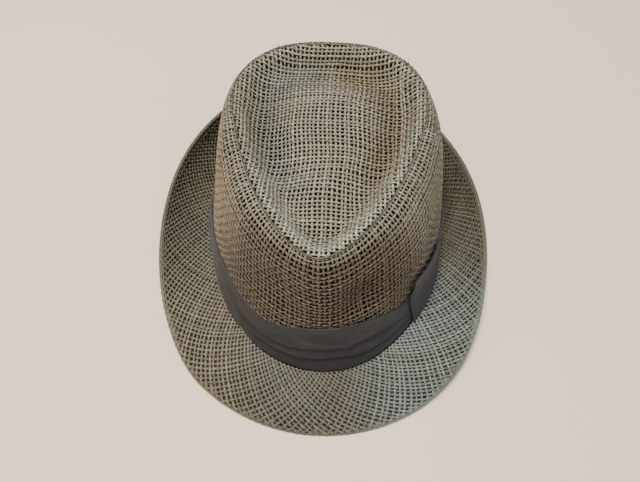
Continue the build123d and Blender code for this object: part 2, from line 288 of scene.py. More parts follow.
class Profile:
    """A curve that is drawn at every t, and read by its share of length or by its height."""

    STEPS = 80

    def __init__(self, controls_at, angles=361):
        self.t = np.linspace(0, TURN, angles)
        u = np.linspace(0, 1, self.STEPS + 1)
        controls = [tuple(c[:, None] * np.ones_like(u) for c in pair) for pair in controls_at(self.t)]
        (self.out, self.up), (slope_out, slope_up) = bezier(controls, u[None, :])
        self.side = np.stack([slope_up, -slope_out], -1)
        steps = np.hypot(np.diff(self.out, axis=1), np.diff(self.up, axis=1))
        self.run = np.concatenate([np.zeros((angles, 1)), np.cumsum(steps, axis=1)], axis=1)
        self.length = self.run[:, -1]

    def _row(self, t):
        return np.mod(t, TURN) / TURN * (len(self.t) - 1)

    def _column(self, key, t, value):
        """The column at which a growing table reaches value, at each t."""
        row = np.clip(np.round(self._row(t)).astype(int), 0, len(self.t) - 1)
        column = np.empty_like(value, float)
        for i in np.unique(row):
            here = row == i
            column[here] = np.interp(value[here], key[i], np.arange(self.STEPS + 1))
        return column

    def length_at(self, t):
        return np.interp(np.mod(t, TURN), self.t, self.length)

    def by_height(self, t, height):
        """The share of length at which the curve reaches a height."""
        t, height = np.broadcast_arrays(np.asarray(t, float), np.asarray(height, float))
        column = self._column(np.maximum.accumulate(self.up, axis=1), t, height)
        return between(self.run, self._row(t), column) / self.length_at(t)

    def point(self, t, share, depth=0.0):
        """Points at a share of the curve's length, depth below its outer face."""
        t, share, depth = np.broadcast_arrays(*(np.asarray(v, float) for v in (t, share, depth)))
        column = self._column(self.run, t, np.clip(share, 0, 1) * self.length_at(t))
        row = self._row(t)
        side = between(self.side, row, column)
        out = between(self.out, row, column) - side[..., 0] * depth
        up = between(self.up, row, column) - side[..., 1] * depth
        place, outward = head_line(t)
        return np.concatenate([place + outward * out[..., None], up[..., None]], -1)


wall = Profile(wall_controls)


def brim_controls(t):
    """The brim's Bezier controls at t, from the head line to the edge."""
    width, root, edge = (around(t, v) for v in (BRIM_WIDTH, BRIM_ROOT_HEIGHT, BRIM_EDGE_HEIGHT))
    width = width + BRIM_CORNER * np.sin(2 * t) ** 2 * (1 + np.cos(t)) / 2
    place, outward = head_line(t)
    foot = wall.point(t, wall.by_height(t, root - BRIM_THICKNESS))[..., :2]
    return [
        (np.sum((foot - place) * outward, axis=-1) + BAND_GAP, root),
        (width * 0.4, root + around(t, (0.5, -0.8, -0.6))),
        (width * around(t, (0.7, 0.8, 0.92)), root + (edge - root) * around(t, (0.6, 0.42, 0.35))),
        (width, edge),
    ]


brim = Profile(brim_controls)
brim.side = -brim.side  # the brim's outer face is its top


def length_table(path, steps=2000):
    """Angles round a closed path, the share of its length that each has reached, and its length."""
    t = np.linspace(0, TURN, steps + 1)
    run = running(path(t))
    return t, run / run[-1], run[-1]


def angle_at(table, share):
    """The angle at a share of a closed path's length, past either end too."""
    t, run, _ = table
    return np.interp(np.mod(share, 1), run, t) + TURN * np.floor(share)


# Tip: its height, from the distance to the ridge


def seam_distance(x, y):
    """The distance from the ridge to a place on the tip, rounded off where two sides are as near."""
    t = np.linspace(0, TURN, 241)
    point, outward = head_line(t)
    seam = point - outward * ridge_inset(t)[:, None]
    middle = (seam[1:] + seam[:-1]) / 2
    length = np.linalg.norm(np.diff(seam, axis=0), axis=1)
    weight = np.zeros(np.shape(x))
    for (sx, sy), size in zip(middle, length):
        weight += size / ((sx - x) ** 2 + (sy - y) ** 2 + 0.01) ** 2
    return (math.pi / 2 / weight) ** (1 / 3)


def tip_height(x, y, inset):
    """The tip's top face: a dent that runs along inside the ridge, and a raised middle."""
    valley = VALLEY_DEPTH * np.sin(math.pi / 2 * np.clip(inset / VALLEY_INSET, 0, 1)) ** 2
    share = np.clip((inset - VALLEY_INSET) / (DOME_INSET - VALLEY_INSET), 0, 1)
    dome = (VALLEY_DEPTH - DOME_DROP) * np.sin(math.pi / 2 * share) ** 2
    outside = np.abs(x) >= ridge_half_width(y)
    return ridge_height(y) - np.where(outside, 0, valley - dome)


class Tip:
    """The tip's height, and its distance to the ridge, on a grid in plan."""

    STEP = 1.0

    def __init__(self):
        self.x = np.arange(-62, 62 + self.STEP, self.STEP)
        self.y = np.arange(HEAD_Y + RIDGE_FRONT - 6, HEAD_Y + RIDGE_BACK + 6 + self.STEP, self.STEP)
        grid_x, grid_y = np.meshgrid(self.x, self.y, indexing="ij")
        self.inset = seam_distance(grid_x, grid_y)
        self.z = tip_height(grid_x, grid_y, self.inset)

    def read(self, table, x, y):
        """Reads one of the grids between its points."""
        i = np.clip((x - self.x[0]) / self.STEP, 0, len(self.x) - 1.001)
        j = np.clip((y - self.y[0]) / self.STEP, 0, len(self.y) - 1.001)
        return between(table, i, j)


tip = Tip()


# Strands


class Strands:
    """Gathers flat six-sided strands, and makes them one mesh with a UV map along each strand."""

    SIDES = 6

    def __init__(self):
        self.rings, self.faces, self.uv, self.lifts, self.count = [], [], [], [], 0

    def add(self, points, normals, width, thickness, lift=0.0):
        along = unit(np.gradient(points, axis=0))
        across = unit(np.cross(normals, along))
        up = np.cross(along, across)
        turn = TURN * np.arange(self.SIDES) / self.SIDES
        wide = across[:, None] * (np.cos(turn) * 0.5)[:, None] * np.reshape(width, (-1, 1, 1))
        high = up[:, None] * (np.sin(turn) * HEXAGON)[:, None] * np.reshape(thickness, (-1, 1, 1))
        ring = points[:, None] + wide + high
        n = len(points)
        base = self.count + np.arange(n - 1)[:, None] * self.SIDES
        k = np.arange(self.SIDES)
        after = (k + 1) % self.SIDES
        quads = np.stack([base + k, base + after, base + self.SIDES + after, base + self.SIDES + k], -1)
        run = running(points)
        u0, u1 = np.repeat(run[:-1], self.SIDES), np.repeat(run[1:], self.SIDES)
        v0, v1 = np.tile(k / self.SIDES, n - 1), np.tile((k + 1) / self.SIDES, n - 1)
        self.uv.append(np.stack([u0, v0, u0, v1, u1, v1, u1, v0], -1).reshape(-1, 2))
        self.rings.append(ring.reshape(-1, 3))
        self.faces.append(quads.reshape(-1, 4))
        self.lifts.append(np.repeat(np.broadcast_to(lift, n), self.SIDES))
        last = self.count + (n - 1) * self.SIDES
        caps = [[3, 2, 1, 0], [5, 4, 3, 0]], [[0, 1, 2, 3], [0, 3, 4, 5]]
        self.faces.append(np.concatenate([np.array(caps[0]) + self.count, np.array(caps[1]) + last]))
        self.uv.append(np.repeat([[run[0], 0.5], [run[-1], 0.5]], 8, axis=0))
        self.count += n * self.SIDES

    def make(self, name):
        points, faces, uv = (np.concatenate(parts) for parts in (self.rings, self.faces, self.uv))
        piece = make_mesh(name, points, faces, uv * UV_SCALE)
        lifts = np.concatenate(self.lifts).astype(np.float32)
        piece.data.attributes.new("lift", "FLOAT", "POINT").data.foreach_set("value", lifts)
        return piece


def settled(points):
    """The worn hat: its brim drawn in at the wearer's left and back, and its crown a little askew."""
    x, y, z = points[..., 0], points[..., 1], points[..., 2]
    across, along = x / (HEAD_WIDTH / 2), (y - HEAD_Y) / (HEAD_LENGTH / 2)
    t = np.arctan2(across, -along)
    size = np.maximum(np.hypot(across, along), 1e-6)
    reach = (size - 1) * (HEAD_LENGTH + HEAD_WIDTH) / 4
    drawn = sum(far * ease(reach, 2, end) * bell(t, angle, spread) for angle, spread, far, end in TUCKS)
    tuck = drawn * (1 - ease(z, 42, 56))
    moved = points.copy()
    moved[..., 0] -= across / size * tuck
    moved[..., 1] -= along / size * tuck
    moved[..., 2] += TUCK_RISE * tuck
    for side, height, tall, middle, long, far in PUSHES:
        moved[..., 0] += far * ease(side * x, 20, 60) * bell(z, height, tall) * bell(y, middle, long)
    moved[..., 0] -= 1.0 * ease(z, 40, 100)
    moved[..., 2] += 1.3 * bell(x, 8, 32) * bell(y, 96, 16) * ease(z, 70, 96)
    return moved


def make_mesh(name, points, quads, uv):
    """A smooth mesh of quads, from millimetres."""
    points = settled(points)
    mesh = bpy.data.meshes.new(name)
    mesh.vertices.add(len(points))
    mesh.vertices.foreach_set("co", np.asarray(points * MM, np.float32).ravel())
    mesh.loops.add(len(quads) * 4)
    mesh.loops.foreach_set("vertex_index", np.asarray(quads, np.int32).ravel())
    mesh.polygons.add(len(quads))
    mesh.polygons.foreach_set("loop_start", np.arange(0, len(quads) * 4, 4, dtype=np.int32))
    mesh.polygons.foreach_set("use_smooth", np.ones(len(quads), bool))
    layer = mesh.uv_layers.new(name="cloth")
    layer.data.foreach_set("uv", np.asarray(uv, np.float32).ravel())
    mesh.update(calc_edges=True)
    mesh.validate()
    piece = bpy.data.objects.new(name, mesh)
    bpy.context.scene.collection.objects.link(piece)
    return piece


def place(piece, material, node, body=HAT):
    """Gives a piece its material and its body, and hides the CAD node that it stands for."""
    piece.data.materials.append(material)
    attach(piece, body)
    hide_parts(node)


rng = np.random.default_rng(SEED)
DRIFT_WAVES = [
    (unit(rng.normal(0, 1, 3)) * TURN / length, rng.uniform(0, TURN, 3), size)
    for length, size in ((90, 0.45), (60, 0.35), (40, 0.25), (26, 0.16))
    for _ in range(3)
]


def drift(points):
    """Slow uneven pulls that neighbouring strands share, so that the mesh opens and closes."""
    moved = np.zeros_like(points)
    for wave, phase, size in DRIFT_WAVES:
        moved += size * np.sin((points @ wave)[..., None] + phase)
    return moved


def wander(n, size, waves=3):
    """A smooth sideways drift along a strand."""
    x = np.linspace(0, 1, n)
    return sum(
        size / waves * math.sin(phase) * np.sin(TURN * (rng.uniform(0.5, 0.5 + n / 12) * x + phase))
        for phase in rng.uniform(0, TURN, waves)
    )


def crossings(first, last):
    """Places along a strand, in pitches, two at each crossing, and the crossings' numbers."""
    middle = np.arange(first, last + 1)
    return np.repeat(middle, 2) + np.tile([-PLATEAU, PLATEAU], len(middle)), np.repeat(middle, 2)


def over(index, crossing):
    """1 where a strand passes over, and -1 where it passes under."""
    return np.where((index + crossing) % 2 == 0, 1.0, -1.0)


def surface_normals(at, a, b, step_a, step_b):
    """Outward directions of a surface at(a, b), by differences."""
    along = at(a + step_a, b) - at(a - step_a, b)
    across = at(a, b + step_b) - at(a, b - step_b)
    return unit(np.cross(along, across))


def lay_strand(strands, at, a, b, steps, lift, looseness, wave=WAVE, scale=CROWN_STRAND):
    """Adds an uneven strand along a surface. It rises and dips by its lift, and is pulled with the cloth."""
    normals = surface_normals(at, a, b, *steps)
    points = at(a, b) + normals * (wave * lift)[:, None]
    width = STRAND_WIDTH * scale * np.clip(rng.normal(1, 0.12), 0.72, 1.3)
    width = width * (1 + wander(len(points), 0.2))
    thickness = STRAND_THICKNESS * (1 + wander(len(points), 0.15))
    pull = drift(points) * np.reshape(looseness, (-1, 1))
    pull -= normals * np.sum(pull * normals, axis=-1, keepdims=True)
    strands.add(points + pull, normals, width, thickness, lift)


def soft_dents(t, share):
    """How far the soft crown stands in from its block: its dents, and slow waves."""
    t = signed(t)
    dents = sum(size * bell(t, a, wide) * bell(share, b, high) for a, wide, b, high, size in DENTS)
    return dents + 0.5 * np.sin(3 * t + 1) * np.sin(math.pi * share) + 0.35 * np.sin(7 * t + 5 * share)


# Crown side: rows parallel to the foot, and columns from the foot to the ridge
foot_table = length_table(lambda t: wall.point(t, 0.25))
ridge_table = length_table(lambda t: wall.point(t, 1.0))
SIDE_GIRTH = (foot_table[2] + ridge_table[2]) / 2
SIDE_COLUMNS = 2 * round(SIDE_GIRTH / PITCH / 2)
SIDE_ROWS = round(float(wall.length.mean()) / SIDE_ROW_PITCH)
SIDE_STEPS = (0.02, 0.02)  # the differences in columns and rows that give the side's outward directions


def side_at(column, row):
    """The crown side's cloth at a column and a row."""
    turn = column / SIDE_COLUMNS
    climb = np.clip(row / SIDE_ROWS, FOOT_SHARE, 1)
    t = angle_at(foot_table, turn) * (1 - climb) + angle_at(ridge_table, turn) * climb
    return soft_wall(t, climb, CROWN_CLOTH / 2 + UNDER_BAND * (1 - ease(climb, *UNDER_BAND_END)))


def side_looseness(row):
    """The side's cloth is held at the ridge seam and at the foot."""
    return ease(SIDE_ROWS - row, 0.3, 4) * ease(row, 0, 3)


def side_columns(strands):
    """The side's upright strands."""
    row, crossing = crossings(0, SIDE_ROWS)
    row = np.clip(row, 0, SIDE_ROWS)
    for column in range(SIDE_COLUMNS):
        a = column + rng.normal(0, UNEVEN) + wander(len(row), 0.07)
        lay_strand(strands, side_at, a, row, SIDE_STEPS, over(column, crossing), side_looseness(row))


def side_rows(strands):
    """The side's strands round the head. Each ends as high as it starts."""
    column, crossing = crossings(0, SIDE_COLUMNS)
    for row in range(SIDE_ROWS + 1):
        loose = 0 < row < SIDE_ROWS
        sway = wander(len(column), 0.07 * loose, waves=5)
        b = row + rng.normal(0, UNEVEN) * loose + sway - np.linspace(sway[0], sway[-1], len(sway))
        b = np.minimum(b, SIDE_ROWS - 0.22)
        lay_strand(strands, side_at, column, b, SIDE_STEPS, -over(row, crossing), side_looseness(float(row)))


def foot_cords(strands):
    """Strands along the foot, where the cloth is turned in and sewn to the brim."""
    t = np.linspace(0, TURN, 541)
    outward = head_line(t)[1]
    outward = np.concatenate([outward, 0 * outward[:, :1]], axis=1)
    for depth in (0.1, CROWN_CLOTH - 0.1):
        points = wall.point(t, FOOT_SHARE, depth)
        strands.add(points, outward, *FOOT_CORD)


# Crown tip: strands along X and Y


def tip_at(x, y):
    """The tip's cloth at x and y. Past the ridge it turns down."""
    z = tip.read(tip.z, x, y) - CROWN_CLOTH / 2 + LIP_RISE * bell(tip.read(tip.inset, x, y), 4.5, 3.2)
    ends = np.minimum(y - HEAD_Y - RIDGE_FRONT, HEAD_Y + RIDGE_BACK - y) * 1.5
    gap = np.minimum(ridge_half_width(y) - np.abs(x), ends)
    return np.stack([x, y, z - 1.2 * np.exp(-(np.clip(gap, -1, None) + 1) / 0.7)], -1)


def strand_lines(heights, places, most):
    """Where each strand lies on each row of the tip's grid, by its number from the middle."""
    run = np.cumsum(np.hypot(tip.STEP, np.diff(heights, axis=1)), axis=1)
    run = np.concatenate([np.zeros((len(run), 1)), run], axis=1)
    run -= run[:, [len(places) // 2]]
    return {p: np.array([np.interp(p * PITCH, row, places) for row in run]) for p in range(-most, most + 1)}


def tip_strands(strands, along_y):
    """The tip's strands that run along Y, or along X. A strand's side is its place across its run."""
    columns = strand_lines(tip.z.T, tip.x, TIP_COLUMNS)
    rows = strand_lines(tip.z, tip.y, TIP_ROWS)
    lines, crossing_lines = (columns, rows) if along_y else (rows, columns)
    side_grid, run_grid = (tip.x, tip.y) if along_y else (tip.y, tip.x)
    last = max(crossing_lines)
    place_on, crossing = crossings(-last, last)
    low = np.clip(np.floor(place_on).astype(int), -last, last - 1)
    share = place_on - low
    for index, line in lines.items():
        side = np.zeros(len(place_on))
        for _ in range(4):
            a, b = (
                np.array([np.interp(v, side_grid, crossing_lines[k]) for v, k in zip(side, line_numbers)])
                for line_numbers in (low, low + 1)
            )
            run = a * (1 - share) + b * share
            side = np.interp(run, run_grid, line)
        side = side + (rng.normal(0, UNEVEN) * PITCH + wander(len(side), 0.18))
        x, y = (side, run) if along_y else (run, side)
        ends = (y > HEAD_Y + RIDGE_FRONT - 0.3) & (y < HEAD_Y + RIDGE_BACK + 0.3)
        inside = np.flatnonzero((np.abs(x) < ridge_half_width(y) + 0.3) & ends)
        if len(inside) < 4:
            continue
        kept = slice(inside[0], inside[-1] + 1)
        x, y = x[kept], y[kept]
        lift = over(index, crossing[kept]) * (1 if along_y else -1)
        looseness = ease(ridge_half_width(y) - np.abs(x), 1, 9)
        lay_strand(strands, tip_at, x, y, (NORMAL_STEP, NORMAL_STEP), lift, looseness)


# Brim: strands at 45 degrees to its edge, wrapped round the turned edge
brim_table = length_table(lambda t: brim.point(t, 0.55))
BRIM_GIRTH = brim_table[2]
BRIM_STRANDS = 2 * round(BRIM_GIRTH / (math.sqrt(2) * PITCH) / 2)
BRIM_ROW = PITCH / math.sqrt(2)
ROLL_LENGTH = 0.92 * math.pi * EDGE_ROLL  # how far the cloth follows the turned edge round


def brim_reach(turn):
    """The brim's length from its root to its edge at a share of a turn."""
    return brim.length_at(angle_at(brim_table, turn))


def brim_at(turn, run, depth):
    """A brim layer at a share of a turn and a distance from the root. Past the edge it rolls under."""
    t = angle_at(brim_table, turn)
    length = brim.length_at(t)
    points = brim.point(t, np.clip(run / length, 0, 1), depth)
    past = np.clip(run - length, 0, ROLL_LENGTH) / EDGE_ROLL
    more = np.clip(run - length - ROLL_LENGTH, 0, None)
    edge = brim.point(t, 1.0)
    top = unit(brim.point(t, 1.0, -1.0) - edge)
    out = unit(edge - brim.point(t, 0.98))
    return (
        points
        + out * (EDGE_ROLL * np.sin(past) - more)[..., None]
        + top * (EDGE_ROLL * (np.cos(past) - 1))[..., None]
    )


def brim_strands(strands, depth, slant, reach):
    """One family of a brim layer's strands. slant is 1 or -1, and reach is how far past the edge they go."""

    def at(turn, run):
        return brim_at(turn, run, depth)

    steps = -NORMAL_STEP / BRIM_GIRTH, NORMAL_STEP  # the brim's outward side is its top
    for index in range(BRIM_STRANDS):
        start = (index + rng.normal(0, UNEVEN)) / BRIM_STRANDS
        row, crossing = crossings(0, int((brim_reach(start) + 6 + reach) / BRIM_ROW) + 1)
        run = row * BRIM_ROW
        turn = start + slant * (run / BRIM_GIRTH) + wander(len(run), 0.14) / BRIM_GIRTH
        turn = turn + 0.16 * run / BRIM_GIRTH * (1 + np.sin(TURN * turn + 0.9))
        length = brim_reach(turn)
        keep = run < length + reach
        run, turn, length = run[keep], turn[keep], length[keep]
        calm = 1 - 0.6 * ease(run - length, -3, 0)
        lift = calm * slant * over(0, crossing[keep])
        lay_strand(strands, at, turn, run, steps, lift, 0.45, 0.85 * WAVE, BRIM_STRAND)


def brim_edge_cords(strands, depth):
    """Strands along the turned edge, so that it is closed and smooth."""
    turn = np.linspace(0, 1, 721)
    length = brim_reach(turn)
    for past in (-0.9, 0.5, 1.7, 2.9):
        points = brim_at(turn, length + past, depth + 0.15)
        inner = brim_at(turn, length - 3.0, depth + EDGE_ROLL)
        strands.add(points, unit(points - inner), *EDGE_CORD)


# Plain cloth sheets: bands, tapes and labels


def sheet_mesh(name, at, columns, rows):
    """A grid of quads on at(i, j), both from 0 to 1. It is a ring where its last column meets its first."""
    i = np.linspace(0, 1, columns + 1)
    j = np.linspace(0, 1, rows + 1)
    grid_i, grid_j = np.meshgrid(i, j, indexing="ij")
    points = at(grid_i, grid_j)
    if np.allclose(points[0], points[-1]):
        points = points[:-1]
    n = len(points)
    a = np.arange(columns)[:, None]
    b = np.arange(rows)[None, :]
    after = (a + 1) % n
    m = rows + 1
    quads = np.stack([a * m + b, after * m + b, after * m + b + 1, a * m + b + 1], -1).reshape(-1, 4)
    ui, vi = np.broadcast_arrays(i[:-1, None], j[None, :-1])
    uj, vj = np.broadcast_arrays(i[1:, None], j[None, 1:])
    uv = np.stack([ui, vi, uj, vi, uj, vj, ui, vj], -1).reshape(-1, 2)
    return make_mesh(name, points.reshape(-1, 3), quads, uv)


def cut_area(at):
    """The area of a sheet's surface, in square metres."""
    i, j = np.meshgrid(np.linspace(0, 1, 241), np.linspace(0, 1, 41), indexing="ij")
    points = at(i, j) * MM
    along = np.diff(points, axis=0)[:, :-1]
    across = np.diff(points, axis=1)[:-1]
    return float(np.linalg.norm(np.cross(along, across), axis=-1).sum())


def pleat_depth(t, share):
    """How far the band's pleated face stands out, from its foot to its top edge."""
    side = signed(t)
    near_loop = ease(side, 0.3, 0.85) * (1 - ease(side, 1.3, 1.7))
    out = np.full(np.broadcast(t, share).shape, 0.7)
    for angle, wide, middle, slope, high, size in FOLDS:
        out = out + size * bell(side, angle, wide) * bell(share, middle + slope * side, high)
    for edge, wave, size in PLEATS:
        line = edge + wave * (np.sin(t + 2.2) + 0.45 * np.sin(3 * t + 9 * edge) + 0.2 * np.sin(7 * t))
        size = size * (1 + 0.3 * np.sin(2 * t + 5 * edge + 0.5)) * (1 - 0.7 * near_loop)
        rise = np.clip((share - line) / 0.02, 0, 1)
        fade = 1 - ease(share - line, 0, 0.42)
        out = out + np.where(share > line, size * rise * fade, 0)
    loose = 0.38 * np.sin(11 * t + 9 * share) * np.sin(math.pi * share) + 0.25 * np.sin(4 * t - 6 * share)
    return out + loose + 0.14 * np.sin(27 * t - 12 * share + 2 * np.sin(5 * t))


def wall_strip(t, foot, top, j, depth):
    """A strip of the crown's wall, j of the way from one height to another."""
    low, high = wall.by_height(t, foot), wall.by_height(t, top)
    return wall.point(t, low + (high - low) * j, depth)


def soft_wall(t, share, depth):
    """The crown's wall with its dents."""
    return wall.point(t, share, depth + soft_dents(t, share))


def band_at(i, j):
    """The pleated band, whose top edge dips where the loop holds it."""
    t = i * TURN
    side = signed(t)
    foot = around(t, BRIM_ROOT_HEIGHT) + BAND_FOOT_RISE - 0.4
    top = around(t, BAND_TOP) - 7.5 * bell(side, -0.66, 0.36) + 1.3 * bell(side, 0.2, 0.35)
    top = top - 9.5 * ease(side, 0.48, 0.92) * (1 - ease(side, 0.98, 1.3)) + 0.4 * np.sin(3 * t + 0.8)
    edge = 0.9 * np.clip((j - 0.97) / 0.03, 0, 1) ** 2 + 0.4 * np.clip((0.02 - j) / 0.02, 0, 1)
    return wall_strip(t, foot, top, j, edge - BAND_GAP - pleat_depth(t, j))


def loop_at(i, j):
    """The wrap over the band's ends. Its front edge leans back."""
    t = LOOP_START + (LOOP_END - LOOP_START) * i + LOOP_LEAN * (1 - i) * ease(j, 0.65, 1)
    foot = around(t, BRIM_ROOT_HEIGHT) + BAND_FOOT_RISE - 0.2
    top = around(t, BAND_TOP) + LOOP_RISE + 1.6 * (1 - i) ** 2
    bulge = 0.5 * np.sin(math.pi * i) + 0.25 * np.sin(TURN * 1.5 * j + 2 * i)
    return wall_strip(t, foot, top, j, -BAND_GAP - BAND_CLOTH - 0.5 - bulge)


def sweatband_at(i, j):
    """The sweatband, with a soft top edge."""
    t = i * TURN
    ripple = 0.15 * np.sin(23 * t) * np.sin(math.pi * j) ** 2 + 0.25 * np.clip((j - 0.94) / 0.06, 0, 1)
    return wall_strip(t, SWEATBAND_FOOT, SWEATBAND_TOP, j, CROWN_CLOTH + LINING_GAP + 0.35 + ripple)


def interlining_at(i, j):
    """The stiff mesh between the brim's layers."""
    return brim.point(i * TURN, 0.01 + 0.95 * j, BRIM_THICKNESS / 2)


def side_lining_at(i, j):
    """The dark lining behind the crown side, from behind the sweatband to the ridge."""
    t = i * TURN
    low = wall.by_height(t, 30.0)
    crease = 0.25 * np.sin(17 * t + 3 * j) + 0.2 * np.sin(29 * t - 5 * j)
    return soft_wall(t, low + (1 - low) * j, CROWN_CLOTH + 1.0 + crease)


def ridge_tape_at(i, j):
    """The tape over the ridge seam's raw edges, inside the lining."""
    t = i * TURN
    share = 1 - (RIDGE_TAPE_WIDTH * (1 - j) + 0.5) / wall.length_at(t)
    pucker = 0.12 * np.sin(61 * t) * np.sin(math.pi * j)
    return soft_wall(t, share, CROWN_CLOTH + 2.0 + pucker)


def back_tape_at(i, j):
    """The tape behind the crown's join at the back, over the lining."""
    t = math.pi + BACK_JOIN_SPREAD * (2 * i - 1)
    share = wall.by_height(t, BACK_JOIN[0] + (BACK_JOIN[1] - BACK_JOIN[0]) * j)
    return soft_wall(t, share, CROWN_CLOTH + 2.0 + 0.1 * np.sin(9 * j))


def size_label_at(i, j):
    """The small label sewn flat on the sweatband."""
    t = SIZE_LABEL[0] + (SIZE_LABEL[1] - SIZE_LABEL[0]) * i
    puff = 0.18 * np.sin(math.pi * i) * np.sin(math.pi * j)
    return wall_strip(t, *SIZE_LABEL_HEIGHTS, j, SWEATBAND_INSIDE + 0.3 + puff)


def care_label_at(i, j):
    """The loose label: it hangs from its sewn top edge, and its lower corners curl inward."""
    (x0, y0, z0), (x1, y1, z1) = (np.array(corner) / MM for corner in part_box(LABEL))
    curl = 0.9 * (1 - j) ** 2 * (0.35 + 0.65 * (2 * i - 1) ** 2) + 0.12 * np.sin(7 * j + 3 * i)
    fold = 0.15 * bell(j, 1, 0.05)
    return np.stack([x0 + (x1 - x0) * i, y0 + 0.1 - curl - fold, z0 + (z1 - z0) * j], -1)


def tip_lining_at(i, j):
    """The dark lining under the tip."""
    y = HEAD_Y + RIDGE_FRONT + 0.5 + (RIDGE_BACK - RIDGE_FRONT - 1.0) * (0.5 - 0.5 * np.cos(math.pi * j))
    x = (2 * i - 1) * np.maximum(ridge_half_width(y) - 0.3, 0.1)
    return np.stack([x, y, tip.read(tip.z, x, y) - CROWN_CLOTH - 1.1], -1)


def sewn(name, paths, pitch, length, thread):
    """Rows of stitches along paths at(u, depth), u from 0 to 1. Each dips into the cloth at both ends."""
    strands = Strands()
    for at in paths:
        u = np.linspace(0, 1, 1201)
        run = running(at(u, 0 * u))
        count = max(1, round(run[-1] / pitch))
        for i in range(count):
            middle = (i + 0.5 + rng.normal(0, 0.04)) / count * run[-1]
            share = np.linspace(-0.5, 0.5, 6)
            u_here = np.interp(middle + share * length, run, u)
            sink = 0.5 * (2 * np.abs(share)) ** 4
            points = at(u_here, sink + rng.normal(0, 0.04))
            up = unit(at(u_here, sink - 1.0) - at(u_here, sink))
            strands.add(points, up, thread, thread * 0.9)
    return strands.make(name)


def ridge_thread_at(u, depth):
    """The ridge's stitch line, just outside the top edge."""
    t = u * TURN
    points = wall.point(t, 0.995, depth + soft_dents(t, 1.0) - 0.25)
    points[..., 2] += 0.2
    return points


def edge_thread_at(u, depth):
    """The stitch line inside the brim's edge."""
    return brim.point(u * TURN, 0.93, depth - 0.2)


def back_thread_at(side):
    """One of the two stitch rows along the crown's join at the back."""

    def at(u, depth):
        t = np.full_like(u, math.pi + side * BACK_STITCH_SPREAD)
        share = wall.by_height(t, BACK_JOIN[0] + 1 + u * (BACK_JOIN[1] - BACK_JOIN[0]))
        return soft_wall(t, share, depth - 0.35)

    return at


def tack_at(angle):
    """A short stitch run near the band's top edge."""

    def at(u, depth):
        i = (angle - 0.02 + 0.04 * u) / TURN
        points = band_at(i, np.full_like(i, 0.93))
        outward = head_line(i * TURN)[1]
        points[..., :2] += outward * (0.15 - depth)[..., None]
        return points

    return at


BACK_ROWS = [back_thread_at(side) for side in (-1, 1)]
TACKS = [tack_at(math.radians(angle)) for angle in (20, 110, 165, 215, 270, 330)]


def ridge_tufts():
    """Frayed fibres that stand out of the ridge seam at the back."""
    strands = Strands()
    t = np.linspace(0, TURN, 1441)
    ridge = wall.point(t, 1.0)
    for x, y in TUFTS:
        start = ridge[np.argmin(np.hypot(ridge[:, 0] - x, ridge[:, 1] - y))]
        for _ in range(11):
            lean = unit(np.array([rng.normal(0, 0.7), rng.normal(0.5, 0.5), rng.uniform(0.4, 1.2)]))
            curl = unit(rng.normal(0, 1, 3)) * rng.uniform(0.3, 1.2)
            size = rng.uniform(1.6, 4.2)
            share = np.linspace(0, 1, 8)[:, None]
            foot = start + np.array([rng.normal(0, 0.8), rng.normal(0, 0.4), -0.4])
            points = foot + size * (lean * share + curl * share**2 * 0.6)
            normals = unit(np.cross(lean, curl))[None, :] + 0 * points
            strands.add(points, normals, 0.22 - 0.1 * share[:, 0], 0.2)
    return strands.make("ridge_tufts")


# Materials


class Nodes:
    """Short calls for building a material's nodes."""

    def __init__(self, name):
        self.material = bpy.data.materials.new(name)
        self.material.use_nodes = True
        self.tree = self.material.node_tree
        self.shader = self.tree.nodes["Principled BSDF"]

    def add(self, kind, inputs=(), **settings):
        node = self.tree.nodes.new(kind)
        for key, value in settings.items():
            setattr(node, key, value)
        for key, value in dict(inputs).items():
            self.set(node, key, value)
        return node

    def set(self, node, key, value):
        if isinstance(value, bpy.types.NodeSocket):
            self.tree.links.new(value, node.inputs[key])
        else:
            node.inputs[key].default_value = value

    def plain(self, **values):
        """Sets the shader's own numbers, with _ for a space in their names."""
        for key, value in values.items():
            self.shader.inputs[key.replace("_", " ")].default_value = value

    def coordinates(self):
        return self.add("ShaderNodeTexCoord").outputs["Object"]

    def attribute(self, name, output):
        return self.add("ShaderNodeAttribute", attribute_name=name).outputs[output]

    def noise(self, scale, detail, vector=None, stretch=None):
        vector = vector or self.coordinates()
        if stretch:
            vector = self.add("ShaderNodeMapping", {"Vector": vector, "Scale": stretch}).outputs[0]
        inputs = {"Vector": vector, "Scale": scale, "Detail": detail, "Roughness": 0.55}
        return self.add("ShaderNodeTexNoise", inputs).outputs["Fac"]

    def ramp(self, value, stops):
        node = self.add("ShaderNodeValToRGB", {"Fac": value})
        elements = node.color_ramp.elements
        while len(elements) < len(stops):
            elements.new(0.5)
        for element, (position, colour) in zip(elements, stops):
            element.position = position
            element.color = (*colour, 1)
        return node.outputs["Color"]

    def grey(self, value, low=0.0, high=1.0):
        return self.add("ShaderNodeMapRange", {"Value": value, "To Min": low, "To Max": high}).outputs[0]

    def mix(self, factor, a, b, how="MIX"):
        node = self.add("ShaderNodeMix", data_type="RGBA", blend_type=how)
        for key, value in ((0, factor), (6, a), (7, b)):
            self.set(node, key, (*value, 1) if isinstance(value, tuple) else value)
        return node.outputs[2]

    def bump(self, height, distance, strength):
        inputs = {"Height": height, "Distance": distance, "Strength": strength}
        self.set(self.shader, "Normal", self.add("ShaderNodeBump", inputs).outputs[0])


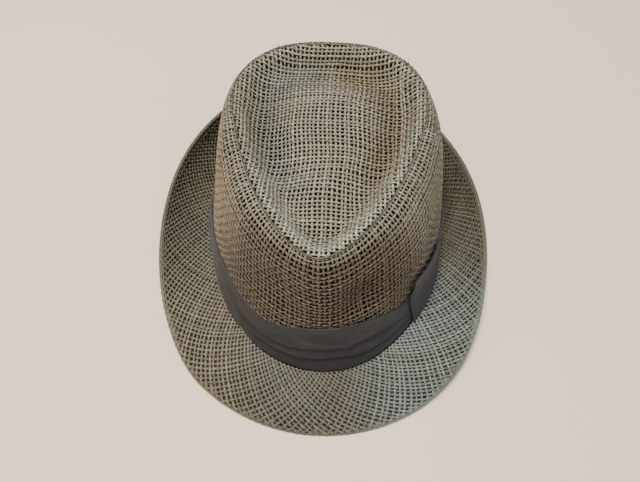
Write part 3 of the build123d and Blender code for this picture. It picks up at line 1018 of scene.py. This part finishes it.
def straw(name):
    """Twisted paper straw: a little uneven from strand to strand and along each strand, with painted shade
    where a strand dips under its neighbours and a painted highlight where it passes over.
    """
    n = Nodes(name)
    island = n.add("ShaderNodeNewGeometry").outputs["Random Per Island"]
    strand = n.ramp(
        island,
        [
            (0.0, (0.203, 0.194, 0.150)),
            (0.3, (0.262, 0.256, 0.206)),
            (0.75, (0.287, 0.285, 0.235)),
            (1.0, (0.345, 0.345, 0.294)),
        ],
    )
    # Each piece's stored colour: painted light and shade, and the straw's own tone.
    colour = n.mix(1.0, strand, n.attribute("tone_and_light", "Color"), "MULTIPLY")
    # Painted shade on the strands where they pass under, and a painted highlight where they pass over.
    lift = n.attribute("lift", "Fac")
    over_under_shade = n.add("ShaderNodeMapRange", {"Value": lift, "From Min": -1.0, "From Max": 1.0}).outputs[0]
    colour = n.mix(1.0, colour, n.mix(over_under_shade, (0.62, 0.58, 0.52), (1.16, 1.16, 1.16)), "MULTIPLY")
    uv = n.add("ShaderNodeUVMap", uv_map="cloth").outputs[0]
    fibre = n.noise(60, 4, vector=uv, stretch=(0.6, 5, 1))
    knots = n.noise(420, 3)
    fine = n.mix(n.grey(fibre), (0.58, 0.55, 0.49), (1.36, 1.35, 1.32))
    colour = n.mix(0.9, colour, fine, "MULTIPLY")
    colour = n.mix(n.grey(knots, -0.55, 1.0), colour, (0.17, 0.125, 0.080))
    n.set(n.shader, "Base Color", colour)
    n.set(n.shader, "Roughness", n.grey(fibre, 0.42, 0.72))
    n.plain(Specular_IOR_Level=0.4)
    n.bump(fibre, 0.00012, 0.9)
    return n.material


def cloth(name, dark, light, threads, sheen=0.2, rough=(0.6, 0.85), toned_and_lit=False):
    """Fine plain-woven cloth, in soft patches between a dark and a light colour."""
    n = Nodes(name)
    position = n.coordinates()
    waves = [
        n.add(
            "ShaderNodeTexWave",
            {"Vector": position, "Scale": threads, "Distortion": 1.5, "Detail": 2.0, "Detail Scale": 2.0},
            bands_direction=direction,
        ).outputs["Fac"]
        for direction in ("DIAGONAL", "Z")
    ]
    weave = n.add("ShaderNodeMath", {0: waves[0], 1: waves[1]}, operation="MULTIPLY").outputs[0]
    slow = n.noise(30, 4)
    base = n.mix(n.grey(slow), dark, light)
    shade = n.mix(n.grey(weave), (0.72, 0.72, 0.74), (1.12, 1.12, 1.12))
    colour = n.mix(1.0, base, shade, "MULTIPLY")
    if toned_and_lit:
        # The band's painted cool reflection and its own tone.
        colour = n.mix(1.0, colour, n.attribute("tone_and_light", "Color"), "MULTIPLY")
    n.set(n.shader, "Base Color", colour)
    n.plain(Specular_IOR_Level=0.42 if toned_and_lit else 0.3, Sheen_Weight=sheen)
    n.set(n.shader, "Roughness", n.grey(slow, *rough))
    n.bump(weave, 0.00008, 0.6)
    return n.material


def thread_material(name, dark, light):
    """Twisted sewing thread."""
    n = Nodes(name)
    twist = n.noise(900, 3)
    n.set(n.shader, "Base Color", n.mix(n.grey(twist), dark, light))
    n.set(n.shader, "Roughness", n.grey(twist, 0.5, 0.85))
    n.bump(twist, 0.0001, 0.7)
    return n.material


def add_tone_and_light(piece, tone_and_light):
    """Stores a colour at each vertex, which the piece's usual colour is multiplied by: painted light and
    shade, and the piece's own tone.
    """
    mesh = piece.data
    points = np.empty(len(mesh.vertices) * 3, np.float32)
    mesh.vertices.foreach_get("co", points)
    colours = np.ones((len(mesh.vertices), 4), np.float32)
    colours[:, :3] = tone_and_light(*(points.reshape(-1, 3) / MM).T)
    mesh.attributes.new("tone_and_light", "FLOAT_COLOR", "POINT").data.foreach_set("color", colours.ravel())


def toned(start, *steps):
    """A colour at each point, turned step by step towards itself times a tone, by an amount."""
    colour = np.ones((len(steps[0][0]), 3)) * start
    for amount, tone in steps:
        colour = colour * (1 + amount[..., None] * (np.array(tone) - 1))
    return colour


def patchy(x, y, z, length, phase):
    """Slow uneven patches, from 0 to 1."""
    a, b, c = x / length, y / length, z / length
    wave = np.sin(a * 5 + 1.3 * np.sin(b * 4 + phase)) + np.sin(b * 5.5 + 1.7 * np.sin(c * 5 - phase) + a * 2)
    return 0.5 + 0.25 * wave


def crown_tone_and_painted_light(x, y, z):
    """Painted light and shade over the crown, with the straw's own tone: the tip lighter and a painted
    highlight on its front lip and its ridge; painted shade in the tip's dents (browner on the wearer's left,
    bluer on the right), along its back valley, down the front (a little brown) and on the wearer's left side;
    warmer on the wearer's right side, and slow patches.
    """
    inset = tip.read(tip.inset, x, y)
    inside = ease(ridge_half_width(y) - np.abs(x), 0, 3) * ease(z, 82, 86)
    outside = (1 - inside) * (1 - 0.8 * ease(z - ridge_height(y), -8, -1))
    dent_shade = bell(inset, 17, 8) * inside
    back = ease(y, -30, 15)
    front = ease(-y, 8, 50) * outside
    # Painted light: the tip lighter, with a painted highlight on its lip and ridge. Painted shade: the dents,
    # the back valley, the front and the wearer's left side. The warmer wearer's right and the patches are the
    # straw's own tone.
    return toned(
        1 + 0.16 * inside[:, None],
        (dent_shade * back * ease(x, -5, 12), (0.66, 0.58, 0.46)),
        (dent_shade * back * ease(-x, -5, 12), (0.58, 0.66, 0.74)),
        (bell(y, HEAD_Y + RIDGE_BACK - 15, 8) * inside * 0.3, (0.86, 0.76, 0.62)),
        (bell(inset, 4, 5) * inside * (1 - back), (1.40, 1.60, 1.60)),
        (bell(inset, 4, 4) * inside * back, (1.06, 1.12, 1.10)),
        (front, (0.43, 0.375, 0.335)),
        (ease(-x, 35, 70) * (1 - front) * outside, (0.96, 0.80, 0.67)),
        (ease(x, 40, 70) * (1 - front) * outside, (0.55, 0.62, 0.60)),
        (patchy(x, y, z, 60, 2.0), (0.90, 0.86, 0.80)),
    )


def brim_tone_and_painted_light(x, y, z):
    """Grey, with a painted cool reflection at the wearer's left in front, lighter and warmer at the wearer's
    right in front, and warm and darker along the sides and the back.
    """
    front = ease(-y, -10, 60)
    rear = ease(y, -30, 20)
    return toned(
        (0.48, 0.52, 0.535),
        # Painted cool reflection: the wearer's left in front is made lighter and bluer.
        (ease(x, 10, 60) * front, (1.34, 1.66, 2.00)),
        (ease(-x, 20, 70) * front, (1.58, 1.43, 1.24)),
        (ease(-x, 40, 80) * rear, (1.05, 0.96, 0.90)),
        (ease(x, 40, 80) * rear, (1.00, 0.96, 0.94)),
        (ease(y, 20, 90), (0.84, 0.80, 0.76)),
        (patchy(x, y, z, 70, 0.5), (0.90, 0.85, 0.76)),
    )


def band_tone_and_painted_light(x, y, z):
    """Browner on the wearer's right, and bluer and lighter on the left, where a painted cool reflection lies.
    """
    return toned(1.0, (ease(-x, 20, 60), (1.20, 0.84, 0.64)), (ease(x, 15, 60), (1.18, 1.36, 1.72)))


straw_cloth = straw("straw_cloth")
band_cloth = cloth(
    "band_cloth", (0.0110, 0.0100, 0.0125), (0.0188, 0.0175, 0.0222), 1100, 0.12, (0.40, 0.60), toned_and_lit=True
)
lining_cloth = cloth("lining_cloth", (0.030, 0.027, 0.025), (0.050, 0.045, 0.041), 700)
lining_fine = cloth("lining_fine", (0.006, 0.005, 0.004), (0.012, 0.010, 0.008), 900, 0.0)
tape_cloth = cloth("tape_cloth", (0.10, 0.085, 0.065), (0.15, 0.13, 0.10), 700)
mesh_cloth = cloth("mesh_cloth", (0.012, 0.010, 0.008), (0.024, 0.020, 0.016), 500, 0.0)
label_cloth = cloth("label_cloth", (0.62, 0.61, 0.57), (0.75, 0.74, 0.70), 1600, 0.3, (0.35, 0.55))
straw_thread = thread_material("straw_thread", (0.10, 0.085, 0.06), (0.22, 0.195, 0.15))
dark_thread = thread_material("dark_thread", (0.010, 0.008, 0.006), (0.030, 0.026, 0.020))
frayed_straw = thread_material("frayed_straw", (0.05, 0.04, 0.028), (0.11, 0.09, 0.065))
pale_thread = thread_material("pale_thread", (0.42, 0.41, 0.38), (0.58, 0.57, 0.53))


# Woven pieces. A brim layer's flat size, (length, width) in metres, is worked out but not used


def woven(name, node, tone_and_light, layers):
    """A woven piece, from the calls that lay its strands in turn."""
    strands = Strands()
    for lay, *settings in layers:
        lay(strands, *settings)
    piece = strands.make(name)
    add_tone_and_light(piece, tone_and_light)
    place(piece, straw_cloth, node)


side_layers = [(side_columns,), (side_rows,), (foot_cords,)]
woven("crown_side_cloth", "crown_side", crown_tone_and_painted_light, side_layers)
tip_layers = [(tip_strands, True), (tip_strands, False)]
woven("crown_tip_cloth", "crown_tip", crown_tone_and_painted_light, tip_layers)
for layer, depth, reach in BRIM_LAYERS:
    layers = [(brim_strands, depth, slant, reach) for slant in (1, -1)]
    if layer == "upper":
        layers.append((brim_edge_cords, depth))
    flat = BRIM_GIRTH * MM, (float(brim.length.mean()) + reach) * MM
    woven(f"brim_{layer}_cloth", f"brim_{layer}", brim_tone_and_painted_light, layers)

# Threads: name, paths, pitch, length, thickness, material and node
for *stitches, material, node in (
    ("ridge_seam_thread", [ridge_thread_at], 3.4, 3.1, 0.46, dark_thread, "ridge_stitches"),
    ("brim_edge_thread", [edge_thread_at], 3.4, 2.3, 0.45, straw_thread, "brim_edge_stitches"),
    ("back_join_thread", BACK_ROWS, 3.6, 2.6, 0.42, straw_thread, "back_join_stitches"),
    ("band_tack_thread", TACKS, 3.0, 2.2, 0.4, dark_thread, "hat_band_tacks"),
):
    place(sewn(*stitches), material, node)
tufts = ridge_tufts()
tufts.data.materials.append(frayed_straw)
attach(tufts, HAT)

# Sheets: name, shape, columns, rows, thickness and its side, material, node, flat size in metres, how it
# is held and what it rests on
SHEETS = (
    ("crown_side_lining", side_lining_at, 360, 40, 0.25, -1, lining_fine,
     "side_lining", (0.56, 0.085), "stretched", "crown_side"),
    ("brim_stiffening", interlining_at, 360, 20, 0.3, 0, mesh_cloth,
     "brim_interlining", (0.70, 0.040), "stretched", "brim_under"),
    ("pleated_band", band_at, 540, 72, 0.5, -1, band_cloth,
     "hat_band", (0.60, 0.062), "folded", "crown_side"),
    ("sweatband_lining", sweatband_at, 360, 24, 0.6, 1, lining_cloth,
     "sweatband", (0.58, 0.034), "stretched", "crown_side"),
    ("ridge_seam_tape", ridge_tape_at, 480, 8, 0.3, -1, tape_cloth,
     "ridge_tape", (0.46, 0.010), "stretched", "crown_side"),
    ("crown_tip_lining", tip_lining_at, 60, 80, 0.25, -1, lining_fine,
     "tip_lining", (0.125, 0.165), "stretched", "crown_tip"),
    ("band_loop", loop_at, 60, 60, 0.7, -1, band_cloth,
     "hat_band_loop", (0.030, 0.055), "stretched", "hat_band"),
    ("back_seam_tape", back_tape_at, 10, 40, 0.3, -1, tape_cloth,
     "back_join_tape", (0.012, 0.036), "stretched", "crown_side"),
    ("sewn_size_label", size_label_at, 24, 16, 0.25, -1, label_cloth,
     "size_label", (0.018, 0.012), "laid", "sweatband"),
    ("hanging_care_label", care_label_at, 24, 32, 0.25, 1, label_cloth,
     LABEL, (0.022, 0.027), "hung", "sweatband"),
)
for name, at, columns, rows, thickness, offset, material, node, flat, held, rests_on in SHEETS:
    piece = sheet_mesh(name, at, columns, rows)
    solid = piece.modifiers.new("cloth", "SOLIDIFY")
    solid.thickness = thickness * MM
    solid.offset = offset
    if material is band_cloth:
        add_tone_and_light(piece, band_tone_and_painted_light)
    place(piece, material, node, body=LABEL if node == LABEL else HAT)
    area = min(cut_area(at), flat[0] * flat[1])

# The inner stitches are the CAD's own, with new materials
for material, nodes in (
    (dark_thread, ("head_seam_stitches", "sweatband_stitches", "sweatband_join_stitches")),
    (pale_thread, ("size_label_stitches", "care_label_stitches")),
):
    for name in nodes:
        materials = frame["nodes"][name].data.materials
        materials.clear()
        materials.append(material)

# Floor, light and camera
floor = bpy.data.objects.new("floor", bpy.data.meshes.new("floor"))
corners = [(x * FLOOR, y * FLOOR, 0) for x, y in ((-1, -1), (1, -1), (1, 1), (-1, 1))]
floor.data.from_pydata(corners, [], [(0, 1, 2, 3)])
bpy.context.scene.collection.objects.link(floor)
pale = Nodes("pale_floor")
pale.set(pale.shader, "Base Color", pale.mix(pale.noise(3, 3), (0.93, 0.76, 0.60), (0.97, 0.80, 0.64)))
pale.plain(Roughness=0.6)
floor.data.materials.append(pale.material)


def aimed(name, data, position, direction):
    """Puts a lamp or a camera at a place, facing along a direction."""
    stand = bpy.data.objects.new(name, data)
    stand.location = position
    stand.rotation_euler = Vector(direction).to_track_quat("-Z", "Y").to_euler()
    bpy.context.scene.collection.objects.link(stand)
    return stand


LAMPS = (
    ("key", (-0.30, 0.08, 1.7), 0.45, 42, (1.0, 0.965, 0.91)),
    ("fill", (1.2, -0.7, 1.1), 1.2, 5, (0.88, 0.94, 1.0)),
    ("side", (-1.3, -0.3, 0.9), 1.0, 4, (1.0, 0.94, 0.86)),
)
for name, position, size, power, colour in LAMPS:
    light = bpy.data.lights.new(name, "AREA")
    light.energy = power
    light.size = size
    light.color = colour
    aimed(name, light, position, Vector(LIT_PLACE) - Vector(position))
world = bpy.data.worlds.new("studio")
world.use_nodes = True
background = world.node_tree.nodes["Background"].inputs
background["Color"].default_value = (0.95, 0.97, 1.0, 1)
background["Strength"].default_value = 0.30
bpy.context.scene.world = world

camera = aimed("camera", bpy.data.cameras.new("camera"), CAMERA_PLACE, CAMERA_AIM)
camera.data.lens = CAMERA_LENS
camera.data.sensor_width = CAMERA_SENSOR
camera.data.clip_start = 0.01
bpy.context.scene.camera = camera
